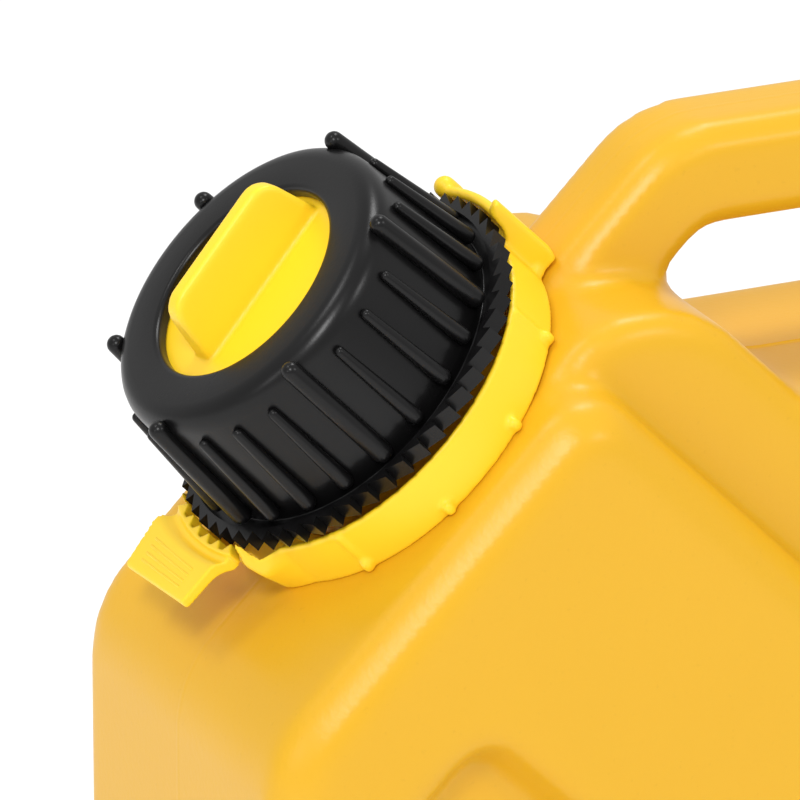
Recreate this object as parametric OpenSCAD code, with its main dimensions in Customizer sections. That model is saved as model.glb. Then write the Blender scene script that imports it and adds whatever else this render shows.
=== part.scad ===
// Flat fuel can with a moulded handle, a neck tilted on its shoulder and a locking screw collar.
// Origin: middle of the base. The neck's shoulder is on the -X side, the front panel faces -Y.

/* [Can] */
// Width across the two sides
can_w = 342; // [310:1:380]
// Height from the base to the handle's top
can_h = 335.5; // [326:0.5:346]
// Depth from the front panel to the back panel
can_d = 111; // [104:1:122]
// Height at which the sides turn into the 45 degree shoulders
side_h = 223; // [214:1:234]
// Thickness of the moulded wall
wall = 3.5; // [2.5:0.1:4.5]
// Radius of the lower corners
base_r = 28; // [15:1:40]
// Radius between side and shoulder
shoulder_r = 26; // [15:1:40]
// Rounding between the flanks and the panels
edge_r = 8; // [4:0.5:10]
// Drop from the handle's top to the full-depth panel
panel_drop = 38.5; // [34:0.5:44]
// Depth of the middle level below the handle
ledge_d = 80; // [70:1:88]
// Drop from the handle's top to the middle level
ledge_drop = 31; // [26:1:34]
// Set-back of each upper level on the shoulder slope
level_step = 0.5; // [0.5:0.5:2]

/* [Handle] */
// Depth of the handle bar
handle_d = 27; // [22:1:34]
// Height of the handle bar
bar_t = 24; // [20:0.5:28]
// Radius of the handle's outer corners
handle_r = 24; // [12:1:36]
// Rounding along the handle's edges
handle_edge_r = 6; // [3:0.5:9]
// Height of the finger gap
gap_h = 34; // [30:1:40]
// Length of the finger gap between its end points
gap_w = 119; // [104:1:122]
// Height of the gap's end points over its floor
gap_point_h = 23.5; // [18:0.5:26]
// Radius of the gap's corners
gap_r = 6; // [3:0.5:8]

/* [Panel recesses] */
// Height of the middle of the crossed bands
cross_z = 147.5; // [142:0.5:153]
// Width of the crossed bands
arm_w = 70; // [60:1:78]
// Lift of the hand scoop over the crossed bands
scoop_lift = 5; // [0:0.5:10]
// Depth of the recesses
pocket_depth = 11; // [6:0.5:14]
// Margin between side recess and can side
pocket_side = 30; // [24:1:36]
// Margin between side recess and shoulder
pocket_shoulder = 37; // [30:1:42]
// Margin between lower recess and base
pocket_base = 30; // [22:1:40]
// Radius of the recess corners
pocket_r = 8; // [4:0.5:12]

/* [Neck] */
// Distance of the neck's centre up the shoulder from its foot
neck_along = 74.4; // [68:0.2:80]
// Outer radius of the neck
neck_r = 30.5; // [29:0.5:31.5]
// Thickness of the neck's wall
neck_wall = 3.5; // [2.5:0.5:4.5]
// Length of the neck over the shoulder
neck_len = 35; // [35:0.5:38]
// Rise of the thread in one turn
thread_pitch = 6; // [5:0.5:6]
// Height of the thread's ridge
thread_h = 2.2; // [1.4:0.1:2.4]
// Width of the ridge at its root
thread_w = 2.6; // [2:0.1:2.8]
// Turns of the ridge on the neck
thread_turns = 1.5; // [1:0.25:1.5]

/* [Collar nut] */
// Radius of the hole in the collar's top
hole_r = 24; // [22:0.5:26]
// Thickness of the collar's top lip
lip_t = 3.3; // [2.5:0.1:4]
// Rounding of the top edge
lip_round = 5; // [3:0.5:5]
// Thickness of the collar's wall
collar_wall = 3.7; // [3.2:0.1:4.2]
// Growth of the collar's outer radius from its top edge to its flare
collar_taper = 2; // [1:0.5:3]
// Radius of a thin grip rib
rib_r = 1.8; // [1:0.1:2.4]
// Radius of a main grip rib
main_rib_r = 2.2; // [1.5:0.1:3]
// Number of main ribs
main_ribs = 6; // [4:1:8]
// Thin ribs between two main ribs
thin_ribs = 3; // [2:1:3]
// Turn of the first main rib
rib_turn = 16.5; // [0:0.5:60]
// Height by which a main rib stands over the top
rib_over = 0.4; // [0.2:0.1:2]
// Radius over the ratchet's teeth
ratchet_r = 45.5; // [44.5:0.5:46.5]
// Height of a ratchet tooth
tooth_h = 2.4; // [1.5:0.1:3]
// Number of ratchet teeth
tooth_count = 56; // [52:1:60]
// Share of a tooth's step that its slow flank takes
tooth_lean = 0.85; // [0.7:0.05:0.9]
// Length of the teeth along the neck
ratchet_l = 4; // [3:0.5:6]
// Length of the flare above the teeth
flare_l = 2.5; // [1.5:0.5:8]

/* [Stopper and spout] */
// Thickness of the stopper's disc
stopper_t = 5.5; // [4.5:0.5:7]
// Height of the finger fin
fin_h = 15; // [10:0.5:18]
// Length of the fin at its root
fin_base = 40; // [34:1:42]
// Length of the fin at its top
fin_top = 34; // [26:1:34]
// Thickness of the fin
fin_t = 4.2; // [3:0.1:6]
// Radius of the fin's top corners
fin_r = 4; // [2:0.5:6]
// Turn of the fin from straight uphill
fin_turn = 9; // [0:1:90]
// Thickness of the seal under the stopper
seal_t = 2; // [1.5:0.1:3]
// Width of the seal under the stopper
seal_w = 9; // [6:0.5:10]
// Thickness of the spout's flange
flange_t = 3.5; // [2.5:0.1:4.5]
// Thickness of the gasket on the neck's rim
gasket_t = 2.5; // [1.5:0.1:3.5]
// Length of the stored spout below its flange
spout_l = 145; // [110:1:160]
// Thickness of the spout's wall
spout_wall = 2.2; // [1.6:0.1:3]
// Outer radius of the spout at its tip
spout_tip_r = 12; // [9:0.5:15]
// Length of the straight tip
spout_tip_l = 35; // [20:1:45]

/* [Lock ring] */
// Outer radius of the ring
ring_r = 43.7; // [42.5:0.1:44.5]
// Height of the ring's wall
ring_h = 13; // [10:0.1:14]
// Thickness of the ring's wall
ring_wall = 1.5; // [1.2:0.1:2.4]
// Thickness of the ring's floor
ring_floor_t = 2.5; // [2:0.1:3.5]
// Space between the ring's rim and the ratchet's teeth
foot_gap = 2.4; // [2:0.1:6]
// Turn of the stepped block
block_turn = -2; // [-15:1:5]
// Angle covered by the stepped block
block_span = 20; // [14:1:36]
// Rise of the stepped block over the ring's rim
block_rise = 1.2; // [0.8:0.1:2]
// Rise of the block's outer plate over the ring
guard_rise = 4; // [2:0.5:5]
// Angle of the guard arm's root on the block
arm_root = 8; // [5:1:12]
// Angle covered by the guard arm past the block
arm_span = 13; // [10:1:32]
// Rise of the guard arm over the ring's rim
arm_rise = 5.5; // [5:0.5:9]
// Height of the guard arm's strip
arm_h = 6; // [4:0.5:6]
// Thickness of the guard arm
arm_t = 3; // [2:0.1:4]
// Radius of the bulb on the guard arm's end
bulb_r = 2.4; // [1.8:0.1:3]
// Height by which the bulb passes the arm at both edges
bulb_over = 1.2; // [0.6:0.1:1.4]
// Number of lugs round the ring's lower edge
lugs = 12; // [10:1:14]
// Turn of the first lug, which carries a rib
lug_turn = -42; // [-45:1:-35]
// Radius of a lug
lug_r = 1.6; // [1.2:0.1:2]
// Height of a lug
lug_h = 3.2; // [2.8:0.1:4]
// Lugs from one rib to the next
rib_every = 3; // [2:1:4]
// Radius of a rib over a lug
ring_rib_r = 1.2; // [0.8:0.1:1.4]

/* [Release tab] */
// Turn of the tab round the neck
tab_turn = 174; // [165:1:180]
// Width of the tab
tab_w = 27; // [26.6:0.1:30]
// Reach of the tab past the ratchet's teeth
tab_reach = 16.5; // [14:0.5:18]
// Height of the tab's upper side over the shoulder
tab_s = 15.8; // [15:0.2:18]
// Thickness of the tab's plate
tab_t = 2.5; // [2:0.1:3]
// Width of the sprung root below the tab
root_w = 14; // [10:0.5:18]
// Thickness of the sprung root
root_t = 2; // [1.5:0.1:2.4]
// Number of pawl teeth
pawl_teeth = 5; // [3:1:5]

/* [Clearances] */
// Space between the two threads at crest and root
thread_gap = 0.6; // [0.4:0.1:0.8]
// Space between the collar's lip and the stopper
clamp_gap = 0.2; // [0.1:0.05:0.4]
// Space between pieces that sit round each other
seat_gap = 0.2; // [0.1:0.05:0.4]
// Space round the spout inside the neck
spout_gap = 3.5; // [2:0.5:5]
// Space between the pawl's teeth and the ratchet's teeth
pawl_gap = 0.3; // [0.3:0.1:0.6]

/* [Hidden] */
$fn = 96;

neck_tilt = 45;
cut = 1;
arc_steps = 4;
edge_angles = [0, 45, 90];
thread_steps = 30;

can_colour = [0.98, 0.73, 0.22];
lemon = [1.00, 0.86, 0.18];
black = [0.16, 0.15, 0.15];
rubber = [0.10, 0.10, 0.11];

// Heights up the can
panel_top = can_h - panel_drop;
ledge_top = can_h - ledge_drop;
gap_top = can_h - bar_t;
gap_floor = gap_top - gap_h;

// Neck foot on the shoulder
neck_x = -can_w / 2 + neck_along * cos(neck_tilt);
neck_z = side_h + neck_along * sin(neck_tilt);
bore_r = neck_r - neck_wall;

// Heights along the neck, from the shoulder
gasket_s = neck_len;
flange_s = gasket_s + gasket_t;
seal_s = flange_s + flange_t;
stopper_s = seal_s + seal_t;
lip_s = stopper_s + stopper_t + clamp_gap;
collar_top_s = lip_s + lip_t;
foot_s = ring_h + foot_gap;
flare_s = foot_s + ratchet_l;
wall_s = flare_s + flare_l;
relief_s = foot_s + ratchet_l / 2;
neck_thread_s = neck_len - thread_w / 2 - thread_pitch * thread_turns;
collar_thread_s = neck_thread_s - thread_pitch / 2;

// Radii round the neck
collar_bore = neck_r + thread_h + thread_gap;
collar_r = collar_bore + collar_wall;
flange_r = collar_bore - seat_gap - thread_gap;
ratchet_root = ratchet_r - tooth_h;
foot_bore = ratchet_root - collar_wall;
foot_r = ratchet_root - thread_gap;
tube_r = bore_r - spout_gap;
ring_bore = ring_r - ring_wall;
pawl_r = ratchet_r + pawl_gap;
pawl_root = pawl_r + tooth_h;
plate_r = pawl_root + tab_t;
plate_mid = pawl_root + tab_t / 2;
arm_r = ratchet_r + 2 * pawl_gap;
tooth_step = 360 / tooth_count;

function unit(v) = v / norm(v);

// Points of the arc that rounds corner b between its neighbours a and c
function corner_arc(a, b, c, r) =
    let (u = unit(a - b), w = unit(c - b), half = acos(u * w) / 2,
         centre = b + unit(u + w) * r / sin(half),
         from = b + u * r / tan(half) - centre,
         to = b + w * r / tan(half) - centre,
         start = atan2(from.y, from.x),
         turn = (atan2(to.y, to.x) - start + 540) % 360 - 180)
    [for (i = [0:arc_steps]) let (t = start + turn * i / arc_steps) centre + r * [cos(t), sin(t)]];

// Outline with every corner rounded by its own radius
function rounded(points, radii) =
    let (n = len(points))
    [for (i = [0:n - 1]) each corner_arc(points[(i + n - 1) % n], points[i], points[(i + 1) % n], radii[i])];

// Corners of a convex outline moved inwards by a distance
function inset(points, distance) =
    let (n = len(points))
    [for (i = [0:n - 1])
        let (u = unit(points[(i + n - 1) % n] - points[i]), w = unit(points[(i + 1) % n] - points[i]))
        points[i] + unit(u + w) * distance / sin(acos(u * w) / 2)];

// Left corner of an outline and its mirror image on the right
function pair(x, z) = [[-x, z], [x, z]];

// Outline of the can up to a height, seen from the front
function can_corners(top) =
    let (low = pair(can_w / 2, 0), mid = pair(can_w / 2, side_h), high = pair(can_w / 2 - top + side_h, top))
    [low[0], mid[0], high[0], high[1], mid[1], low[1]];

function can_outline(top, top_r, in) =
    let (radii = [for (r = [base_r, shoulder_r, top_r, top_r, shoulder_r, base_r]) max(r - in, 1)])
    rounded(inset(can_corners(top), in), radii);

// Stretched hexagon of the finger gap
function gap_corners() =
    let (point = pair(gap_w / 2, gap_floor + gap_point_h), floor_half = gap_w / 2 - gap_point_h,
         top_half = gap_w / 2 - gap_h + gap_point_h, low = pair(floor_half, gap_floor),
         high = pair(top_half, gap_top))
    [low[0], point[0], high[0], high[1], point[1], low[1]];

// Slopes of the gap's floor, carried on to the can's top beside the handle
function gap_slopes() =
    let (rise = can_h - gap_floor, floor_half = gap_w / 2 - gap_point_h, low = pair(floor_half, gap_floor),
         high = pair(floor_half + rise, can_h))
    [low[0], high[0], high[1], low[1]];

// Recess beside the crossing, on one side of the can
function side_pocket() =
    let (tip = arm_w / sqrt(2), rise = side_h + can_w / 2 - pocket_shoulder * sqrt(2),
         left = -can_w / 2 + pocket_side, corner_x = (cross_z - tip - rise) / 2,
         corner = [corner_x, corner_x + rise], shoulder = [left, left + rise])
    [[-tip, cross_z], corner, shoulder, [left, 2 * cross_z - shoulder.y],
     [corner_x, 2 * cross_z - corner.y]];

function lower_pocket() =
    let (tip_z = cross_z - arm_w / sqrt(2))
    [[0, tip_z], [pocket_base - tip_z, pocket_base], [tip_z - pocket_base, pocket_base]];

// V of the hand scoop above the crossing
function scoop() =
    let (tip_z = cross_z + arm_w / sqrt(2) + scoop_lift, rise = can_h - tip_z)
    [[0, tip_z], [rise, can_h], [-rise, can_h]];

// Saw-tooth points on an arc: count teeth from a first angle, between two radii
function saw(first, count, low, high) =
    [for (i = [0:count - 1])
        let (t = first + i * tooth_step, u = t + tooth_step * tooth_lean)
        each [low * [cos(t), sin(t)], high * [cos(u), sin(u)]]];

// Solid of an outline in the front view, between two depths
module slab(points, y_low, y_high) {
    translate([0, y_high, 0])
        rotate([90, 0, 0])
            linear_extrude(y_high - y_low)
                polygon(points);
}

// One depth level of the can, with rounded edges, shrunk all round by a skin
module level(depth, top, top_r, edge, step, skin) {
    hull()
        for (t = edge_angles) {
            half = depth / 2 - skin - edge * (1 - sin(t));
            slab(can_outline(top + step, top_r, step + skin + edge * (1 - cos(t))), -half, half);
        }
}

// All three levels, shrunk by a skin
module levels(skin) {
    level(can_d, panel_top, pocket_r, edge_r, 0, skin);
    level(ledge_d, ledge_top, pocket_r, edge_r, level_step, skin);
    level(handle_d, can_h, handle_r, handle_edge_r, 2 * level_step, skin);
}

// Cuts that shape both panels, the scoop and the finger gap, grown all round by a skin
module cuts(skin) {
    pocket_half = can_d / 2 - pocket_depth - skin;
    scoop_half = ledge_d / 2 - skin;
    side = side_pocket();
    mirrored = [for (p = side) [-p.x, p.y]];
    for (face = [0, 1])
        mirror([0, face, 0]) {
            for (outline = [side, mirrored, lower_pocket()])
                slab(rounded(inset(outline, -skin), [for (p = outline) pocket_r]), pocket_half, can_d);
            slab(inset(scoop(), -skin), scoop_half, can_d);
            slab(inset(gap_slopes(), -skin), handle_d / 2 - skin, can_d);
        }
    slab(rounded(inset(gap_corners(), -skin), [for (p = gap_corners()) gap_r + skin]), -can_d, can_d);
}

// Places a piece on the neck's axis, with +X up the slope
module on_neck() {
    translate([neck_x, 0, neck_z])
        rotate([0, -neck_tilt, 0])
            children();
}

module ring(r_in, r_out, low, high) {
    translate([0, 0, low])
        difference() {
            cylinder(r = r_out, h = high - low);
            translate([0, 0, -cut])
                cylinder(r = r_in, h = high - low + 2 * cut);
        }
}

// Part of a ring between two angles
module sector(r_in, r_out, low, high, from, to) {
    rotate([0, 0, from])
        rotate_extrude(angle = to - from)
            translate([r_in, low])
                square([r_out - r_in, high - low]);
}

// Helical ridge from its root radius to its crest radius
module ridge(root, crest, first, turns) {
    steps = round(turns * thread_steps);
    profile = [[root, -thread_w / 2], [crest, -thread_w / 4], [crest, thread_w / 4], [root, thread_w / 2]];
    inward = crest < root;
    points = [for (i = [0:steps], p = profile)
        let (t = 360 * i / thread_steps)
        [p.x * cos(t), p.x * sin(t), first + p.y + thread_pitch * i / thread_steps]];
    sides = [for (i = [0:steps - 1], j = [0:3])
        let (a = 4 * i + j, b = 4 * i + (j + 1) % 4)
        each [[a, b, b + 4], [a, b + 4, a + 4]]];
    last = 4 * steps;
    ends = [[0, 2, 1], [0, 3, 2], [last, last + 1, last + 2], [last, last + 2, last + 3]];
    faces = concat(sides, ends);
    polyhedron(points, inward ? [for (f = faces) [f[2], f[1], f[0]]] : faces);
}

module can_body() {
    color(can_colour) {
        difference() {
            union() {
                difference() {
                    levels(0);
                    cuts(0);
                    difference() {
                        levels(wall);
                        cuts(wall);
                    }
                }
                on_neck()
                    translate([0, 0, -wall / 2])
                        cylinder(r = neck_r, h = neck_len + wall / 2);
            }
            on_neck()
                translate([0, 0, -wall - cut])
                    cylinder(r = bore_r, h = neck_len + wall + 2 * cut);
        }
        on_neck()
            ridge(neck_r - thread_gap, neck_r + thread_h, neck_thread_s, thread_turns);
    }
}

module neck_gasket() {
    color(rubber)
        on_neck()
            ring(bore_r, neck_r, gasket_s, flange_s);
}

// Flange, taper and straight tip, hanging into the can
module pour_spout() {
    tip_s = flange_s - spout_l;
    taper_s = tip_s + spout_tip_l;
    inner_tip = spout_tip_r - spout_wall;
    inner_tube = tube_r - spout_wall;
    color(lemon)
        on_neck()
            rotate_extrude()
                polygon([[inner_tip, tip_s], [spout_tip_r, tip_s], [spout_tip_r, taper_s],
                         [tube_r, flange_s], [flange_r, flange_s], [flange_r, seal_s],
                         [inner_tube, seal_s], [inner_tube, flange_s], [inner_tip, taper_s]]);
}

module stopper_seal() {
    color(rubber)
        on_neck()
            ring(flange_r - seal_w, flange_r, seal_s, stopper_s);
}

// Disc under the collar's lip, with the finger fin on top
module stopper() {
    top_s = stopper_s + stopper_t;
    low = pair(fin_base / 2, top_s - cut);
    high = pair(fin_top / 2, top_s + fin_h);
    fin = rounded([low[0], high[0], high[1], low[1]], [cut / 2, fin_r, fin_r, cut / 2]);
    color(lemon)
        on_neck() {
            translate([0, 0, stopper_s])
                cylinder(r = flange_r, h = stopper_t);
            rotate([0, 0, fin_turn])
                slab(fin, -fin_t / 2, fin_t / 2);
        }
}

// Turned body of the collar, its ratchet ring, its grip ribs and its thread
module collar_nut() {
    rib_step = 360 / main_ribs / (thin_ribs + 1);
    round_r = collar_r - lip_round;
    round_s = collar_top_s - lip_round;
    low_r = collar_r + collar_taper;
    rib_tilt = atan(collar_taper / (round_s - wall_s));
    top_round = [for (i = [0:arc_steps])
        let (t = 90 * i / arc_steps) [round_r + lip_round * cos(t), round_s + lip_round * sin(t)]];
    profile = concat([[collar_bore, relief_s], [foot_bore, foot_s], [foot_r, foot_s],
                      [foot_r, flare_s], [low_r, wall_s]], top_round,
                     [[hole_r, collar_top_s], [hole_r, lip_s], [collar_bore, lip_s]]);
    color(black)
        on_neck() {
            rotate_extrude()
                polygon(profile);
            translate([0, 0, foot_s])
                linear_extrude(ratchet_l)
                    difference() {
                        polygon(saw(0, tooth_count, ratchet_root, ratchet_r));
                        circle(r = (foot_bore + foot_r) / 2);
                    }
            for (i = [0:main_ribs * (thin_ribs + 1) - 1]) {
                main = i % (thin_ribs + 1) == 0;
                low = wall_s + rib_r;
                high = main ? collar_top_s + rib_over : round_s - rib_r;
                rotate([0, 0, rib_turn + i * rib_step])
                    translate([main ? low_r : low_r - rib_r / 2, 0, low])
                        rotate([0, -rib_tilt, 0])
                            cylinder(r = main ? main_rib_r : rib_r, h = high - low, $fn = 32);
            }
            ridge(collar_bore + thread_gap, collar_bore - thread_h, collar_thread_s, 1);
        }
}

// Ring round the neck's foot, open at the tab, with the stepped block and the guard arm
module lock_ring() {
    tab_half = asin(tab_w / 2 / ring_bore) + seat_gap;
    root_half = asin(root_w / 2 / ring_bore) + seat_gap;
    wall_mid = ring_r - ring_wall / 2;
    floor_mid = (neck_r + ring_r) / 2;
    block_low = block_turn - block_span / 2;
    block_high = block_turn + block_span / 2;
    block_out = arm_r + arm_t + seat_gap;
    arm_low = block_high - arm_root;
    arm_high = block_high + arm_span;
    arm_top = ring_h + arm_rise;
    arm_under = arm_top - arm_h;
    lug_half = asin(lug_r / ring_r);
    color(lemon)
        on_neck() {
            difference() {
                rotate_extrude()
                    polygon([[neck_r + seat_gap, 0], [ring_r, 0], [ring_r, ring_h], [ring_bore, ring_h],
                             [ring_bore, ring_floor_t], [neck_r + seat_gap, ring_floor_t]]);
                rotate([0, 0, tab_turn])
                    sector(floor_mid, ring_r + cut, ring_floor_t, ring_h + cut, -tab_half, tab_half);
            }
            rotate([0, 0, tab_turn])
                sector(floor_mid, plate_r, 0, ring_floor_t, -root_half, root_half);
            sector(wall_mid, block_out, 0, ring_h + block_rise, block_low, block_high);
            sector(arm_r, block_out, 0, ring_h + guard_rise, block_low, block_high);
            difference() {
                sector(arm_r, arm_r + arm_t, ring_floor_t, arm_top, arm_low, arm_high);
                sector(ring_r, block_out + cut, 0, arm_under, arm_low + arm_root / 2, arm_high + arm_root);
            }
            rotate([0, 0, arm_high])
                translate([arm_r + bulb_r + seat_gap, 0, arm_under - bulb_over])
                    cylinder(r = bulb_r, h = arm_h + 2 * bulb_over, $fn = 32);
            for (i = [0:lugs - 1]) {
                t = lug_turn + i * 360 / lugs;
                off = abs((t - tab_turn + 540) % 360 - 180);
                if (off > tab_half + lug_half)
                    rotate([0, 0, t]) {
                        translate([wall_mid + lug_r, 0, 0])
                            cylinder(r = lug_r, h = lug_h, $fn = 32);
                        if (i % rib_every == 0)
                            translate([ring_r, 0, lug_h / 2])
                                cylinder(r = ring_rib_r, h = ring_h - ring_rib_r - lug_h / 2, $fn = 32);
                    }
            }
        }
}

// Sprung root, hump with the pawl teeth and thumb tab
module release_tab() {
    low_s = ring_floor_t + pawl_gap;
    top_s = flare_s - pawl_gap;
    under_s = tab_s - tab_t;
    end_r = ratchet_r + tab_reach;
    knee_r = plate_r + tab_t;
    root_low = plate_mid - root_t / 2;
    root_high = plate_mid + root_t / 2;
    span = pawl_teeth * tooth_step;
    pawl_half = pawl_root * sin(span / 2);
    root = [[root_low, low_s], [root_high, low_s], [root_high, under_s + cut], [root_low, under_s + cut]];
    hump = [[pawl_root, under_s], [end_r, under_s], [end_r, tab_s], [knee_r, tab_s],
            [plate_r, top_s], [pawl_root, top_s]];
    back = [[plate_mid, pawl_half], [plate_mid, -pawl_half]];
    teeth = concat(saw(-span / 2, pawl_teeth, pawl_root, pawl_r), back);
    color(lemon)
        on_neck()
            rotate([0, 0, tab_turn]) {
                slab(root, -root_w / 2, root_w / 2);
                slab(hump, -tab_w / 2, tab_w / 2);
                translate([0, 0, foot_s])
                    linear_extrude(top_s - tab_t / 2 - foot_s)
                        polygon(teeth);
            }
}

can_body();
neck_gasket();
pour_spout();
stopper_seal();
stopper();
collar_nut();
lock_ring();
release_tab();
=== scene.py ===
import math

import bmesh
import bpy
from mathutils import Matrix, Vector


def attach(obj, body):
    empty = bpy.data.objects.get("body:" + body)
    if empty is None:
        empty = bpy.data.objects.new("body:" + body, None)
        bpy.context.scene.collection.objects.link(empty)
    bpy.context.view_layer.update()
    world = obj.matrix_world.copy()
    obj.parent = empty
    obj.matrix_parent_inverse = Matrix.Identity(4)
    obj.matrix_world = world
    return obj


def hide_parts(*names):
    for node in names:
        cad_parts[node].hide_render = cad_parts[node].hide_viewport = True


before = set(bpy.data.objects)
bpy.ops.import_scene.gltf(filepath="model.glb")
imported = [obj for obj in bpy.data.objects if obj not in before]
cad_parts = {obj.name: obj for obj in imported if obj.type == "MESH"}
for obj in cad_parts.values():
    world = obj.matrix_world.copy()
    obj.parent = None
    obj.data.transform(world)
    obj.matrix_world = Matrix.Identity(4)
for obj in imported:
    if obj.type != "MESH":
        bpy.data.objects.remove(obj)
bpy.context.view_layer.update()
scene = bpy.context.scene
mm = 0.001
touch = 1e-4  # points nearer than this many millimetres count as one

# the neck stands at 45 degrees on the left shoulder: local x runs uphill, local z along the neck
neckFoot = Vector((-118.3913, 0, 275.6087)) * mm
neckFrame = (Matrix.Translation(neckFoot) @ Matrix.Rotation(math.radians(-45), 4, "Y")
             @ Matrix.Scale(mm, 4))
canFrame = Matrix.Scale(mm, 4)


def turned(degrees):
    return Matrix.Rotation(math.radians(degrees), 4, "Z")


def around(degrees, reach, height):
    # a place beside the neck: its turn, its distance out and its height
    return turned(degrees) @ Matrix.Translation((reach, 0, height))


def softFace(corners, softness, steps=5):
    # flat face in the xz plane, each corner rounded over its own length
    bm = bmesh.new()
    verts = [bm.verts.new((x, 0, z)) for x, z in corners]
    bm.faces.new(verts)
    for vert, soft in zip(verts, softness):
        if soft:
            bmesh.ops.bevel(bm, geom=[vert], offset=soft, offset_type="OFFSET", segments=steps,
                            profile=0.5, affect="VERTICES", material=-1, clamp_overlap=False)
    return bm


def outline(part):
    return softFace(part["face"], part.get("soft", ()), part.get("round", 5))


def drawnOut(bm, faces, along):
    # extrudes the faces once, in one direction
    grown = bmesh.ops.extrude_face_region(bm, geom=faces)
    moved = [g for g in grown["geom"] if isinstance(g, bmesh.types.BMVert)]
    bmesh.ops.translate(bm, verts=moved, vec=along)
    bmesh.ops.recalc_face_normals(bm, faces=bm.faces)
    return bm


def pushed(bm, low, high):
    # the flat face becomes a solid between two depths
    bmesh.ops.translate(bm, verts=bm.verts, vec=(0, low, 0))
    return drawnOut(bm, bm.faces[:], (0, high - low, 0))


def rounded(bm, edges, width, steps):
    bmesh.ops.bevel(bm, geom=edges, offset=width, offset_type="OFFSET", segments=steps, profile=0.5,
                    affect="EDGES", material=-1, clamp_overlap=False)
    return bm


def rimEdges(bm, depth):
    # edges that lie in the front or the back face
    return [e for e in bm.edges if all(abs(abs(v.co.y) - depth) < touch for v in e.verts)
            and e.verts[0].co.y * e.verts[1].co.y > 0]


def spun(bm, steps, start=0, sweep=360, rise=0):
    # the face's outline goes round the neck; a part turn gets its two end faces
    full = sweep == 360 and not rise
    bmesh.ops.delete(bm, geom=bm.faces[:], context="FACES_ONLY")
    onAxis = [e for e in bm.edges if all(abs(v.co.x) < touch for v in e.verts)]
    bmesh.ops.delete(bm, geom=onAxis, context="EDGES")
    bmesh.ops.rotate(bm, cent=(0, 0, 0), matrix=turned(start), verts=bm.verts)
    bmesh.ops.spin(bm, geom=bm.verts[:] + bm.edges[:], cent=(0, 0, 0), axis=(0, 0, 1),
                   dvec=(0, 0, rise / steps), angle=math.radians(sweep), steps=steps,
                   use_merge=full, use_duplicate=False)
    bmesh.ops.remove_doubles(bm, verts=bm.verts, dist=touch)
    openEdges = [e for e in bm.edges if e.is_boundary]
    if openEdges:
        bmesh.ops.holes_fill(bm, edges=openEdges, sides=0)
    bmesh.ops.recalc_face_normals(bm, faces=bm.faces)
    return bm


def swept(part, start=0, sweep=360):
    # an outline taken round the neck, climbing where it has a pitch
    return spun(outline(part), part["steps"], start, sweep, part.get("pitch", 0) * sweep / 360)


def capsule(radius, length, steps=14, top=None):
    # round bar along z with ball ends, tapered where the top has its own radius
    top = top or radius
    ball = 0.95  # just short of a full ball, so that the corner on the axis stays
    bm = softFace([(0, -radius), (radius, -radius), (top, length + top), (0, length + top)],
                  [0, radius * ball, top * ball, 0])
    return spun(bm, steps)


def joined(target, bm, place=None):
    # adds one shape to another and frees it
    if place is not None:
        bmesh.ops.transform(bm, matrix=place, verts=bm.verts)
    mesh = bpy.data.meshes.new("shape")
    bm.to_mesh(mesh)
    bm.free()
    target.from_mesh(mesh)
    bpy.data.meshes.remove(mesh)
    return target


def meshOf(obj):
    bm = bmesh.new()
    bm.from_mesh(obj.data)
    return bm


def putBack(bm, obj):
    bm.to_mesh(obj.data)
    bm.free()


def asObject(bm, name, place):
    bmesh.ops.transform(bm, matrix=place, verts=bm.verts)
    obj = bpy.data.objects.new(name, bpy.data.meshes.new(name))
    putBack(bm, obj)
    scene.collection.objects.link(obj)
    return obj


def settle(obj):
    # bakes the modifiers into the mesh
    graph = bpy.context.evaluated_depsgraph_get()
    mesh = bpy.data.meshes.new_from_object(obj.evaluated_get(graph))
    obj.modifiers.clear()
    old = obj.data
    obj.data = mesh
    mesh.name = obj.name
    bpy.data.meshes.remove(old)
    return obj


def combined(obj, others, operation):
    # adds or cuts away other objects, which are used up
    for other in others:
        mod = obj.modifiers.new("combine", "BOOLEAN")
        mod.operation = operation
        mod.solver = "EXACT"
        mod.object = other
    settle(obj)
    for other in others:
        bpy.data.meshes.remove(other.data)
    return obj


def addMelt(obj, grid, smoothing):
    remesh = obj.modifiers.new("melt", "REMESH")
    remesh.mode = "VOXEL"
    remesh.voxel_size = grid * mm
    smooth = obj.modifiers.new("soften", "SMOOTH")
    smooth.factor = 0.5
    smooth.iterations = smoothing


def melted(bm, name, place, look):
    # one skin round all the shapes, with soft fillets where they meet
    obj = asObject(bm, name, place)
    coarser = 1
    addMelt(obj, look["grid"] * coarser, look["smoothing"])
    return settle(obj)


def dressed(obj, material, body, node, crease):
    obj.data.materials.clear()
    obj.data.materials.append(material)
    for face in obj.data.polygons:
        face.use_smooth = True
    obj.data.set_sharp_from_angle(angle=math.radians(crease))
    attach(obj, body)
    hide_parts(node)
    return obj


# shared effect for the moulded plastics and the rubber

moulding = {
    "cloudDetail": 4, "grainDetail": 2, "speckFrom": 0.66, "speckTo": 0.76,
    "speckTint": (0.5, 0.42, 0.35, 1), "bumpDepth": 0.0002, "glowSpread": (1, 0.5, 0.2), "glowDepth": 0.004,
}


def makeGroup(name, inputs, outputs):
    group = bpy.data.node_groups.new(name, "ShaderNodeTree")
    for label, kind, value in inputs:
        socket = group.interface.new_socket(label, in_out="INPUT", socket_type=kind)
        socket.default_value = value
    for label, kind in outputs:
        group.interface.new_socket(label, in_out="OUTPUT", socket_type=kind)
    return group, group.nodes.new("NodeGroupInput"), group.nodes.new("NodeGroupOutput")


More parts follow.
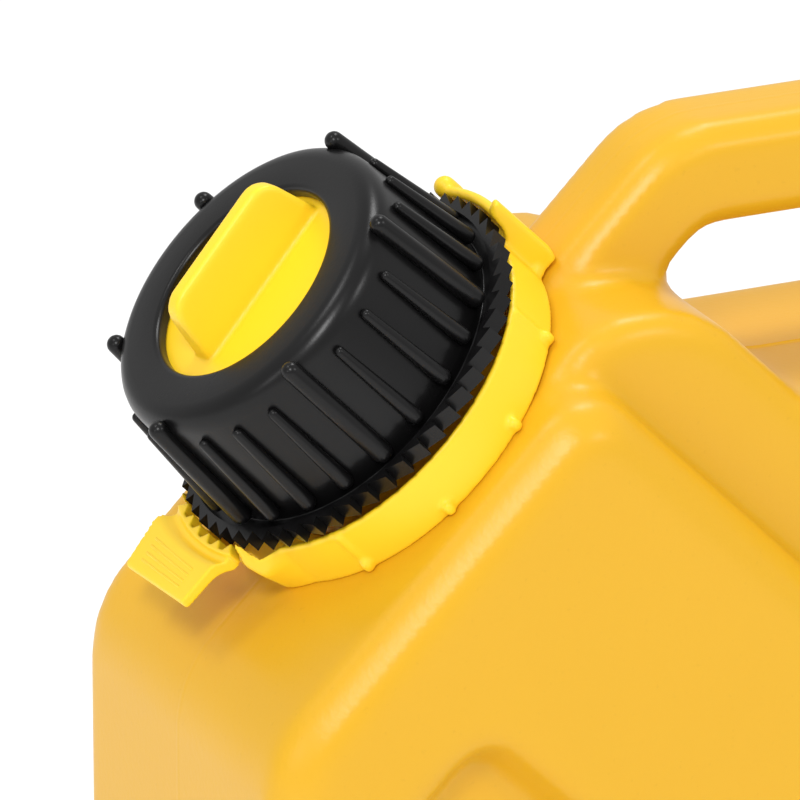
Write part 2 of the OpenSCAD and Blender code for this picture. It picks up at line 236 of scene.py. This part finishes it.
def mouldedTone():
    # cloudy colour of a moulded wall with fine darker specks
    group, given, out = makeGroup(
        "mouldedTone",
        [("Colour", "NodeSocketColor", (1, 1, 1, 1)), ("Deep Colour", "NodeSocketColor", (1, 1, 1, 1)),
         ("Cloud Scale", "NodeSocketFloat", 20), ("Speck Scale", "NodeSocketFloat", 900),
         ("Speck", "NodeSocketFloat", 0.2), ("Gloss", "NodeSocketFloat", 0.4),
         ("Gloss Change", "NodeSocketFloat", 0.1)],
        [("Colour", "NodeSocketColor"), ("Roughness", "NodeSocketFloat"), ("Height", "NodeSocketFloat")])
    nodes, links = group.nodes, group.links
    coords = nodes.new("ShaderNodeTexCoord")
    clouds = nodes.new("ShaderNodeTexNoise")
    clouds.inputs["Detail"].default_value = moulding["cloudDetail"]
    grain = nodes.new("ShaderNodeTexNoise")
    grain.inputs["Detail"].default_value = moulding["grainDetail"]
    specks = nodes.new("ShaderNodeValToRGB")
    specks.color_ramp.elements[0].position = moulding["speckFrom"]
    specks.color_ramp.elements[1].position = moulding["speckTo"]
    for texture, scale in ((clouds, "Cloud Scale"), (grain, "Speck Scale")):
        links.new(coords.outputs["Object"], texture.inputs["Vector"])
        links.new(given.outputs[scale], texture.inputs["Scale"])
    tone = nodes.new("ShaderNodeMix")
    tone.data_type = "RGBA"
    links.new(clouds.outputs["Fac"], tone.inputs["Factor"])
    links.new(given.outputs["Colour"], tone.inputs["A"])
    links.new(given.outputs["Deep Colour"], tone.inputs["B"])
    links.new(grain.outputs["Fac"], specks.inputs["Fac"])
    speckAmount = nodes.new("ShaderNodeMath")
    speckAmount.operation = "MULTIPLY"
    links.new(specks.outputs["Color"], speckAmount.inputs[0])
    links.new(given.outputs["Speck"], speckAmount.inputs[1])
    marked = nodes.new("ShaderNodeMix")
    marked.data_type = "RGBA"
    marked.blend_type = "MULTIPLY"
    links.new(speckAmount.outputs[0], marked.inputs["Factor"])
    links.new(tone.outputs["Result"], marked.inputs["A"])
    marked.inputs["B"].default_value = moulding["speckTint"]
    links.new(marked.outputs["Result"], out.inputs["Colour"])
    shine = nodes.new("ShaderNodeMath")
    shine.operation = "MULTIPLY_ADD"
    links.new(clouds.outputs["Fac"], shine.inputs[0])
    links.new(given.outputs["Gloss Change"], shine.inputs[1])
    links.new(given.outputs["Gloss"], shine.inputs[2])
    links.new(shine.outputs[0], out.inputs["Roughness"])
    links.new(grain.outputs["Fac"], out.inputs["Height"])
    return group


toneGroup = mouldedTone()


def plastic(name, look):
    material = bpy.data.materials.new(name)
    material.use_nodes = True
    nodes, links = material.node_tree.nodes, material.node_tree.links
    shader = nodes["Principled BSDF"]
    tone = nodes.new("ShaderNodeGroup")
    tone.node_tree = toneGroup
    for label in ("Colour", "Deep Colour"):
        tone.inputs[label].default_value = (*look[label], 1)
    for label in ("Cloud Scale", "Speck Scale", "Speck", "Gloss", "Gloss Change"):
        tone.inputs[label].default_value = look[label]
    links.new(tone.outputs["Colour"], shader.inputs["Base Color"])
    links.new(tone.outputs["Roughness"], shader.inputs["Roughness"])
    bump = nodes.new("ShaderNodeBump")
    bump.inputs["Strength"].default_value = look["Bump"]
    bump.inputs["Distance"].default_value = moulding["bumpDepth"]
    links.new(tone.outputs["Height"], bump.inputs["Height"])
    links.new(bump.outputs["Normal"], shader.inputs["Normal"])
    shader.inputs["Specular IOR Level"].default_value = look["Specular"]
    shader.inputs["Subsurface Weight"].default_value = look["Glow"]
    shader.inputs["Subsurface Radius"].default_value = moulding["glowSpread"]
    shader.inputs["Subsurface Scale"].default_value = moulding["glowDepth"]
    return material


canPlastic = plastic("canPlastic", {
    "Colour": (0.735, 0.402, 0.012), "Deep Colour": (0.705, 0.382, 0.011), "Cloud Scale": 14,
    "Speck Scale": 700, "Speck": 0.08, "Gloss": 0.29, "Gloss Change": 0.1, "Bump": 0.2, "Specular": 0.36,
    "Glow": 0.04})
lemonPlastic = plastic("lemonPlastic", {
    "Colour": (1.0, 0.66, 0.018), "Deep Colour": (0.97, 0.62, 0.016), "Cloud Scale": 30,
    "Speck Scale": 1200, "Speck": 0.04, "Gloss": 0.36, "Gloss Change": 0.08, "Bump": 0.06, "Specular": 0.45,
    "Glow": 0.05})
blackPlastic = plastic("blackPlastic", {
    "Colour": (0.005, 0.0048, 0.005), "Deep Colour": (0.003, 0.0029, 0.003), "Cloud Scale": 40,
    "Speck Scale": 1500, "Speck": 0.2, "Gloss": 0.24, "Gloss Change": 0.1, "Bump": 0.08, "Specular": 0.27,
    "Glow": 0})
sealRubber = plastic("sealRubber", {
    "Colour": (0.02, 0.02, 0.021), "Deep Colour": (0.012, 0.012, 0.013), "Cloud Scale": 60,
    "Speck Scale": 2000, "Speck": 0.3, "Gloss": 0.62, "Gloss Change": 0.15, "Bump": 0.2, "Specular": 0.35,
    "Glow": 0})
print("materials ready")

# can shell: three depth levels with chamfered rims, pockets cut in, all melted together with the neck

can = {
    "panel": {"face": [(-171, 0), (-171, 223), (-96, 298), (0, 202), (96, 298), (171, 223), (171, 0)],
              "soft": [28, 10.8, 14, 14, 14, 10.8, 28], "round": 6, "depth": 55.5, "rim": 7},
    "ledge": {"face": [(-150, 180), (-153, 240), (-88.8, 304.5), (-63, 304.5), (-36, 277.5), (36, 277.5),
                       (63, 304.5), (88.8, 304.5), (153, 240), (150, 180)],
              "soft": [0, 0, 9, 12, 2.5, 2.5, 12, 9, 0, 0], "round": 6, "depth": 40, "rim": 4},
    "handle": {"face": [(-153.6, 240), (-58.1, 335.5), (58.1, 335.5), (153.6, 240), (36, 240), (36, 277.5),
                        (59.5, 301), (49, 311.5), (-49, 311.5), (-59.5, 301), (-36, 277.5), (-36, 240)],
               "soft": [0, 10, 10, 0, 0, 2.5, 3, 3, 3, 3, 2.5, 0], "round": 6, "depth": 13.5, "rim": 4.5},
    "sidePocket": {"face": [(-45.3, 147.5), (-121.8, 224), (-144, 201.9), (-144, 93.1), (-121.8, 71)],
                   "soft": [11, 11, 5, 5, 11]},
    "lowPocket": {"face": [(0, 102.2), (-75.2, 27), (75.2, 27)], "soft": [11, 26, 26]},
    "pocketRun": 7, "pocketFloor": 44.5, "cutterReach": 4,
    "neck": {"face": [(0, -15), (30.5, -15), (30.5, 40), (0, 40)], "steps": 96}, "neckTop": 35,
    "thread": {"face": [(29.9, 23.4), (32.7, 24.2), (32.7, 25.2), (29.9, 26)], "soft": [0, 0.3, 0.3, 0],
               "round": 2, "steps": 120, "pitch": 6}, "threadTurns": 1.5,
    "seamHalf": 0.6, "seamHeight": 0.08, "seamLow": 2, "seamNeckLow": -2, "seamNeckReach": 36,
    "gapSeam": 0.4, "gapHalf": 36, "gapHigh": 290,
    "wall": 3, "grid": 2.25, "smoothing": 7, "liningGrid": 5.5, "liningSmoothing": 2, "crease": 60,
}


def canLevel(level):
    bm = outline(level)
    pushed(bm, -level["depth"], level["depth"])
    return rounded(bm, rimEdges(bm, level["depth"]), level["rim"], 1)  # a chamfer, softened by melting


def pocketCutter(pocket, mirrored, side):
    # straight above the panel, then drawn in towards the floor
    bm = outline(pocket)
    depth = can["panel"]["depth"]
    pushed(bm, -depth - can["cutterReach"], -depth)
    bottom = max(bm.faces, key=lambda f: f.calc_center_median().y)
    bmesh.ops.inset_region(bm, faces=[bottom], thickness=can["pocketRun"], use_even_offset=True)
    bmesh.ops.translate(bm, verts=bottom.verts, vec=(0, depth - can["pocketFloor"], 0))
    bmesh.ops.scale(bm, vec=(-1 if mirrored else 1, -side, 1), verts=bm.verts)
    bmesh.ops.recalc_face_normals(bm, faces=bm.faces)
    return asObject(bm, "pocketCutter", canFrame)


def everything(bm):
    return bm.verts[:] + bm.edges[:] + bm.faces[:]


def openNeck(bm):
    # cuts the neck off flat and leaves its end open
    along = neckFrame.col[2].xyz.normalized()
    top = neckFoot + along * can["neckTop"] * mm
    bmesh.ops.bisect_plane(bm, geom=everything(bm), plane_co=top, plane_no=along, clear_outer=True)


def raiseSeam(bm):
    # fine ridge where the two halves of the mould met, higher on the floor of the finger gap
    for offset in (-can["seamHalf"], 0, can["seamHalf"]):
        bmesh.ops.bisect_plane(bm, geom=everything(bm), plane_co=(0, offset * mm, 0), plane_no=(0, 1, 0))
    bm.normal_update()
    toNeck = neckFrame.inverted()
    for vert in bm.verts:
        local = toNeck @ vert.co
        onNeck = local.z > can["seamNeckLow"] and math.hypot(local.x, local.y) < can["seamNeckReach"]
        if abs(vert.co.y) < touch * mm and vert.co.z > can["seamLow"] * mm and not onNeck:
            overGap = abs(vert.co.x) < can["gapHalf"] * mm and vert.co.z < can["gapHigh"] * mm
            height = "gapSeam" if overGap and vert.normal.z > 0 else "seamHeight"
            vert.co += vert.normal * can[height] * mm


def lining(skin):
    # inner wall: the skin moved in by the wall's thickness, on a coarser grid
    obj = bpy.data.objects.new("canLining", skin.data.copy())
    scene.collection.objects.link(obj)
    inward = obj.modifiers.new("inward", "DISPLACE")
    inward.mid_level = 0
    inward.strength = -can["wall"] * mm
    addMelt(obj, can["liningGrid"], can["liningSmoothing"])
    settle(obj)
    bm = meshOf(obj)
    bpy.data.meshes.remove(obj.data)
    openNeck(bm)
    bmesh.ops.reverse_faces(bm, faces=bm.faces)
    return bm


panelSolid = asObject(canLevel(can["panel"]), "panelSolid", canFrame)
cutters = [pocketCutter(can[name], mirrored, side) for side in (-1, 1)
           for name, mirrored in (("sidePocket", False), ("sidePocket", True), ("lowPocket", False))]
combined(panelSolid, cutters, "DIFFERENCE")
shellMesh = meshOf(panelSolid)
bpy.data.meshes.remove(panelSolid.data)
joined(shellMesh, canLevel(can["ledge"]), canFrame)
joined(shellMesh, canLevel(can["handle"]), canFrame)
joined(shellMesh, swept(can["neck"]), neckFrame)
canShell = melted(shellMesh, "canShell", Matrix.Identity(4), can)
print("can skin melted:", len(canShell.data.polygons), "faces")
shellMesh = meshOf(canShell)
openNeck(shellMesh)
raiseSeam(shellMesh)
joined(shellMesh, lining(canShell))
bmesh.ops.bridge_loops(shellMesh, edges=[e for e in shellMesh.edges if e.is_boundary])
joined(shellMesh, swept(can["thread"], 0, 360 * can["threadTurns"]), neckFrame)
putBack(shellMesh, canShell)
print("can shell hollowed:", len(canShell.data.polygons), "faces")
dressed(canShell, canPlastic, "can", "can_body", can["crease"])

# screw collar: spun wall with grip ribs grown on, crisp ratchet teeth round the foot

collar = {
    "wall": {"face": [(33.3, 17.4), (39.4, 15.4), (43, 15.4), (43, 17), (38.6, 17), (38.6, 22.5), (37, 47),
                      (37, 52), (24, 52), (24, 48.7), (33.3, 48.7)],
             "soft": [0, 0, 0.3, 0.3, 0.4, 0.5, 0, 5, 1.4, 0.4, 0.6], "round": 6, "steps": 144},
    "ratchet": {"teeth": 56, "root": 43.1, "tip": 45.5, "lean": 2.7, "inner": 42.2, "low": 15.4,
                "length": 4},
    "mainRib": {"foot": 40, "radius": 2.4, "tip": 2.1, "top": 37.8, "high": 50.2},
    "thinRib": {"foot": 39.9, "radius": 1.9, "tip": 1.15, "top": 37.8, "high": 44.6},
    "mainRibs": 6, "thinBetween": 3, "ribTurn": 16.4, "ribLow": 21.4, "ribSteps": 32, "crease": 35,
}


def ratchetRing(look):
    # every other point of a circle is drawn out and leant to make the saw teeth
    bm = bmesh.new()
    points = bmesh.ops.create_circle(bm, segments=2 * look["teeth"], radius=look["root"])["verts"]
    tips = points[::2]
    grow = look["tip"] / look["root"]
    bmesh.ops.scale(bm, vec=(grow, grow, 1), verts=tips)
    bmesh.ops.rotate(bm, cent=(0, 0, 0), matrix=turned(look["lean"]), verts=tips)
    bmesh.ops.create_circle(bm, segments=2 * look["teeth"], radius=look["inner"])
    bmesh.ops.bridge_loops(bm, edges=bm.edges[:])
    drawnOut(bm, bm.faces[:], (0, 0, look["length"]))
    bmesh.ops.translate(bm, verts=bm.verts, vec=(0, 0, look["low"]))
    return bm


def gripRib(rib, turn):
    # tapered round bar that leans outwards to its foot
    rise, run = rib["high"] - collar["ribLow"], rib["top"] - rib["foot"]
    place = around(turn, rib["foot"], collar["ribLow"]) @ Matrix.Rotation(math.atan2(run, rise), 4, "Y")
    bm = capsule(rib["radius"], math.hypot(run, rise), collar["ribSteps"], rib["tip"])
    bmesh.ops.transform(bm, matrix=place, verts=bm.verts)
    return bm


collarPiece = asObject(swept(collar["wall"]), "screwCollar", neckFrame)
ribMesh = bmesh.new()
ribCount = collar["mainRibs"] * (collar["thinBetween"] + 1)
for index in range(ribCount):
    rib = collar["thinRib" if index % (collar["thinBetween"] + 1) else "mainRib"]
    joined(ribMesh, gripRib(rib, collar["ribTurn"] + index * 360 / ribCount))
combined(collarPiece, [asObject(ribMesh, "gripRibs", neckFrame)], "UNION")
collarMesh = meshOf(collarPiece)
joined(collarMesh, ratchetRing(collar["ratchet"]), neckFrame)
putBack(collarMesh, collarPiece)
dressed(collarPiece, blackPlastic, "collar", "collar_nut", collar["crease"])
print("collar ready:", len(collarPiece.data.polygons), "faces")

# stopper: disc under the collar's lip with a drafted finger fin

stopper = {
    "disc": {"face": [(0, 43), (32.5, 43), (32.5, 48.5), (0, 48.5)], "soft": [0, 0.4, 0.6, 0], "round": 3,
             "steps": 96},
    "foot": 48, "height": 15.5, "length": 41, "topLength": 35, "thick": 7, "topThick": 4.6,
    "endSoft": 4.5, "endSteps": 6, "edgeSoft": 1.2, "edgeSteps": 4, "turn": 9, "uphill": 2,
    "grid": 0.5, "smoothing": 4, "crease": 60,
}


def fingerFin(look):
    # flat drafted face pushed to its foot thickness, then thinned towards the top
    half, top, high = look["length"] / 2, look["topLength"] / 2, look["height"]
    side = look["thick"] / 2
    soft = [0, 0, look["endSoft"], look["endSoft"]]
    bm = softFace([(-half, 0), (half, 0), (top, high), (-top, high)], soft, look["endSteps"])
    pushed(bm, -side, side)
    rounded(bm, rimEdges(bm, side), look["edgeSoft"], look["edgeSteps"])
    thin = look["topThick"] / look["thick"]
    for vert in bm.verts:
        vert.co.y *= 1 + (thin - 1) * vert.co.z / high
    bmesh.ops.translate(bm, verts=bm.verts, vec=(look["uphill"], 0, look["foot"]))
    return bm


stopperMesh = swept(stopper["disc"])
joined(stopperMesh, fingerFin(stopper), turned(stopper["turn"]))
stopperPiece = melted(stopperMesh, "finnedStopper", neckFrame, stopper)
dressed(stopperPiece, lemonPlastic, "closure", "stopper", stopper["crease"])
print("stopper ready:", len(stopperPiece.data.polygons), "faces")

# lock ring: floor and wall round the neck's foot, flared at the tab, with lugs, a gusset and a guard arm

ring = {
    "floor": {"face": [(33.2, 1.5), (36.6, 0), (43.7, 0), (43.7, 2.5), (32.6, 2.5)],
              "soft": [0.3, 0, 0.3, 0, 0.3], "round": 2, "steps": 128},
    "tongue": {"face": [(42, 0), (46.8, 0), (46.8, 2.5), (42, 2.5)], "soft": [0, 0.5, 0.5, 0], "round": 3,
               "steps": 16}, "tongueFrom": -12, "tongueSweep": 10,
    "wall": {"face": [(42.2, 0), (43.7, 0), (43.7, 13), (42.2, 13)], "soft": [0, 0.3, 0.5, 0.5], "round": 4,
             "steps": 240}, "wallCuts": 8,
    "tabTurn": 174, "tabOff": 3.2, "opening": 19.1, "flare": 8, "flareHold": 3,
    "flareOut": [(0, 1.8), (0.7, 4.7), (1, 2.8)], "flareThin": 0.8, "flareLift": 6.2, "flareRise": 4,
    "flareSkew": 4,
    "lugs": 12, "lugTurn": -42, "lugRadius": 1.35, "lugReach": 44.1, "lugLow": 1.3, "lugHigh": 2.2,
    "ribEvery": 3, "ribRadius": 1.3, "ribReach": 43, "ribHigh": 11.5,
    "block": {"face": [(43, 0), (49.1, 0), (49.1, 12.6), (43, 12.6)], "soft": [0, 0.5, 1, 0], "round": 3,
              "steps": 24}, "blockTurn": -11, "blockSweep": 19,
    "gusset": {"face": [(42.6, 0), (48.8, 0.6), (49.7, 2.6), (49.7, 21.8), (46.6, 20.4), (45.9, 15),
                        (44.4, 12.6), (42.6, 12.6)],
               "soft": [0, 0, 1, 1, 0.8, 0, 0, 0], "round": 3}, "gussetThick": 2.4, "gussetTurn": -12.2,
    "arm": {"face": [(45.9, 12.8), (48.3, 12.8), (48.3, 18.4), (45.9, 18.4)], "soft": [1.2, 1.2, 1.2, 1.2],
            "round": 4, "steps": 32}, "armTurn": -10, "armSweep": 31,
    "bulbRadius": 2.5, "bulbReach": 48.3, "bulbTurn": 21, "bulbLow": 14.2, "bulbHigh": 17.2, "bulbSteps": 20,
    "grid": 0.48, "smoothing": 4, "crease": 60,
}
openingMiddle = ring["tabTurn"] + ring["tabOff"]


def between(points, place):
    # straight lines through a short table
    for (low, first), (high, second) in zip(points, points[1:]):
        if place <= high:
            return first + (second - first) * (place - low) / (high - low)
    return points[-1][1]


def eased(share):
    # soft start and end between nothing and all
    share = max(0, share)
    return share * share * (3 - 2 * share)


def fromOpening(turn):
    # turn away from the middle of the wall's opening, to either side
    return (turn - openingMiddle + 180) % 360 - 180


def ringWall(look):
    # the wall stops at the tab, where its ends lean out, rise at the top and run on at the foot
    opening = look["opening"]
    bm = swept(look["wall"], openingMiddle + opening, 360 - 2 * opening)
    outside, high = look["wall"]["face"][2]
    coreReach = (look["wall"]["face"][0][0] + outside) / 2
    upright = [e for e in bm.edges if abs(e.verts[0].co.z - e.verts[1].co.z) > high / 2]
    bmesh.ops.subdivide_edges(bm, edges=upright, cuts=look["wallCuts"])
    for vert in bm.verts:
        turn = fromOpening(math.degrees(math.atan2(vert.co.y, vert.co.x)))
        away = abs(turn) - opening
        bend = eased(1 - max(0, away - look["flareHold"]) / look["flare"])
        lift = eased(1 - away / look["flareRise"])
        level = vert.co.z / high
        reach = math.hypot(vert.co.x, vert.co.y)
        thin = look["flareThin"] * level if reach < coreReach else 0
        grow = (reach + (between(look["flareOut"], level) + thin) * bend) / reach
        skew = turned(-math.copysign(look["flareSkew"], turn) * bend * (1 - level))
        top = vert.co.z + look["flareLift"] * lift * level
        vert.co = skew @ Vector((vert.co.x * grow, vert.co.y * grow, top))
    return bm


ringMesh = swept(ring["floor"])
joined(ringMesh, swept(ring["tongue"], ring["tabTurn"] + ring["tongueFrom"], ring["tongueSweep"]))
joined(ringMesh, ringWall(ring))
for index in range(ring["lugs"]):
    lugTurn = ring["lugTurn"] + index * 360 / ring["lugs"]
    if abs(fromOpening(lugTurn)) > ring["opening"]:
        joined(ringMesh, capsule(ring["lugRadius"], ring["lugHigh"] - ring["lugLow"]),
               around(lugTurn, ring["lugReach"], ring["lugLow"]))
        if index % ring["ribEvery"] == 0:
            joined(ringMesh, capsule(ring["ribRadius"], ring["ribHigh"] - ring["lugLow"]),
                   around(lugTurn, ring["ribReach"], ring["lugLow"]))
joined(ringMesh, swept(ring["block"], ring["blockTurn"], ring["blockSweep"]))
joined(ringMesh, pushed(outline(ring["gusset"]), 0, ring["gussetThick"]), turned(ring["gussetTurn"]))
joined(ringMesh, swept(ring["arm"], ring["armTurn"], ring["armSweep"]))
joined(ringMesh, capsule(ring["bulbRadius"], ring["bulbHigh"] - ring["bulbLow"], ring["bulbSteps"]),
       around(ring["bulbTurn"], ring["bulbReach"], ring["bulbLow"]))
ringPiece = melted(ringMesh, "lockRing", neckFrame, ring)
dressed(ringPiece, lemonPlastic, "can", "lock_ring", ring["crease"])
print("lock ring ready:", len(ringPiece.data.polygons), "faces")

# release tab: humped thumb plate on a sprung leaf, with pawl teeth facing the ratchet

tab = {
    "plate": {"face": [(47.7, 13.8), (47.7, 17.9), (48.5, 17.7), (49.8, 16), (52.2, 18), (63.4, 16),
                       (63.4, 13.6), (53, 15.2), (50, 13)],
              "soft": [0.4, 0.4, 0.6, 1, 1, 0.8, 0.6, 2, 1], "round": 4},
    "plateCuts": 24, "width": 28, "innerFrom": -13.4, "innerSweep": 34,
    "outerLeft": (64.7, -14), "outerRight": (60.4, 13.6), "leftOut": [(0, 0), (0.14, 1), (0.3, 3.5), (1, 0)],
    "leaf": {"face": [(44.8, 2.8), (46.4, 2.8), (49.8, 14.4), (48, 14.4)]}, "leafFrom": -9.4, "leafTo": -2.6,
    "teeth": 6, "toothStep": 6.1, "toothTip": 45.75, "toothRoot": 48.6, "toothHalf": 2.5,
    "toothLow": 14.6, "toothHigh": 17.8,
    "gripLines": 4, "gripFirst": 55.4, "gripStep": 1.7, "gripRadius": 0.4, "gripLength": 18,
    "gripHeight": 17.2, "gripFall": 0.179, "gripSteps": 10,
    "grid": 0.35, "smoothing": 1, "crease": 60,
}


def laidOut(bm, look):
    # bends a straight strip so that its inner edge follows the ratchet, its outer edge is skewed and its
    # left side stands out behind the teeth
    reaches = [x for x, z in look["plate"]["face"]]
    inner, outer = min(reaches), max(reaches)
    left, right = Vector((*look["outerLeft"], 0)), Vector((*look["outerRight"], 0))
    for vert in bm.verts:
        out, across = (vert.co.x - inner) / (outer - inner), vert.co.y / look["width"] + 0.5
        start = turned(look["innerFrom"] + look["innerSweep"] * across) @ Vector((inner, 0, 0))
        end = left.lerp(right, across)
        wider = between(look["leftOut"], out) * (1 - across)
        vert.co = start.lerp(end, out) + Vector((0, -wider, vert.co.z))
    return bm


def thumbPlate(look):
    half = look["width"] / 2
    bm = pushed(outline(look["plate"]), -half, half)
    crossing = [e for e in bm.edges if abs(e.verts[0].co.y - e.verts[1].co.y) > half]
    bmesh.ops.subdivide_edges(bm, edges=crossing, cuts=look["plateCuts"])
    return laidOut(bm, look)


def pawlTooth(look):
    # three-cornered bar standing along the neck
    bm = bmesh.new()
    tip, root, half, low = look["toothTip"], look["toothRoot"], look["toothHalf"], look["toothLow"]
    base = bm.faces.new([bm.verts.new((x, y, low)) for x, y in ((tip, 0), (root, half), (root, -half))])
    return drawnOut(bm, [base], (0, 0, look["toothHigh"] - low))


tabPlace = neckFrame @ turned(ring["tabTurn"])
tabMesh = thumbPlate(tab)
joined(tabMesh, pushed(outline(tab["leaf"]), tab["leafFrom"], tab["leafTo"]))
toothMiddle = tab["innerFrom"] + tab["innerSweep"] / 2
for index in range(tab["teeth"]):
    toothTurn = toothMiddle + (index - (tab["teeth"] - 1) / 2) * tab["toothStep"]
    joined(tabMesh, pawlTooth(tab), turned(toothTurn))
tabPiece = melted(tabMesh, "releaseTab", tabPlace, tab)
tabMesh = meshOf(tabPiece)
for index in range(tab["gripLines"]):
    out = index * tab["gripStep"]
    place = (Matrix.Translation((tab["gripFirst"] + out, tab["gripLength"] / 2,
                                 tab["gripHeight"] - tab["gripFall"] * out))
             @ Matrix.Rotation(math.radians(90), 4, "X"))
    bar = joined(bmesh.new(), capsule(tab["gripRadius"], tab["gripLength"], tab["gripSteps"]), place)
    joined(tabMesh, laidOut(bar, tab), tabPlace)
putBack(tabMesh, tabPiece)
dressed(tabPiece, lemonPlastic, "tab", "release_tab", tab["crease"])
print("release tab ready:", len(tabPiece.data.polygons), "faces")

innerPaint = {"neck_gasket": sealRubber, "stopper_seal": sealRubber, "pour_spout": lemonPlastic}
for name, material in innerPaint.items():
    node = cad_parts[name]
    node.data.materials.clear()
    node.data.materials.append(material)
print("inner pieces painted")

# stage, light and camera

studio = {
    "floorHalf": 40, "floorColour": (0.95, 0.95, 0.95, 1), "floorRoughness": 0.9, "floorSpecular": 0.1,
    "skyColour": (1, 1, 1, 1), "skyStrength": 0.72, "aim": (-0.11757, 0, 0.2789),
}
floorMesh = bmesh.new()
bmesh.ops.create_grid(floorMesh, x_segments=1, y_segments=1, size=studio["floorHalf"])
floor = asObject(floorMesh, "studioFloor", Matrix.Identity(4))
floorPaint = bpy.data.materials.new("floorPaint")
floorPaint.use_nodes = True
paint = floorPaint.node_tree.nodes["Principled BSDF"].inputs
paint["Base Color"].default_value = studio["floorColour"]
paint["Roughness"].default_value = studio["floorRoughness"]
paint["Specular IOR Level"].default_value = studio["floorSpecular"]
floor.data.materials.append(floorPaint)

world = bpy.data.worlds.new("studioSky")
scene.world = world
world.use_nodes = True
sky = world.node_tree.nodes["Background"].inputs
sky["Color"].default_value = studio["skyColour"]
sky["Strength"].default_value = studio["skyStrength"]
scene.view_settings.view_transform = "Standard"

aim = Vector(studio["aim"])
lamps = {
    "keyLamp": {"place": (-1.1, -1.4, 1.65), "size": 0.45, "power": 18},
    "leftLamp": {"place": (-1.2, 0.2, 2.1), "size": 0.45, "power": 6},
    "rimLamp": {"place": (-2.03, -0.9, 0.87), "size": 0.4, "power": 2.5},
    "topLamp": {"place": (0.5, 0.4, 2.2), "size": 0.6, "power": 13},
    "frontLamp": {"place": (0.8, -1.6, 1.5), "size": 0.4, "power": 6},
}
for name, lamp in lamps.items():
    data = bpy.data.lights.new(name, "AREA")
    data.shape = "SQUARE"
    data.size = lamp["size"]
    data.energy = lamp["power"]
    obj = bpy.data.objects.new(name, data)
    obj.location = lamp["place"]
    obj.rotation_mode = "QUATERNION"
    obj.rotation_quaternion = (aim - obj.location).to_track_quat("-Z", "Y")
    obj.visible_camera = False
    scene.collection.objects.link(obj)

shot = {"azimuth": -25, "elevation": 20.7, "distance": 2.2, "width": 0.1739}
turn, tilt = math.radians(shot["azimuth"]), math.radians(shot["elevation"])
back = Vector((math.sin(turn) * math.cos(tilt), -math.cos(turn) * math.cos(tilt), math.sin(tilt)))
cameraData = bpy.data.cameras.new("photoCamera")
cameraData.lens = cameraData.sensor_width * shot["distance"] / shot["width"]
camera = bpy.data.objects.new("photoCamera", cameraData)
camera.location = aim + back * shot["distance"]
camera.rotation_mode = "QUATERNION"
camera.rotation_quaternion = (-back).to_track_quat("-Z", "Y")
scene.collection.objects.link(camera)
scene.camera = camera
print("stage, light and camera set")
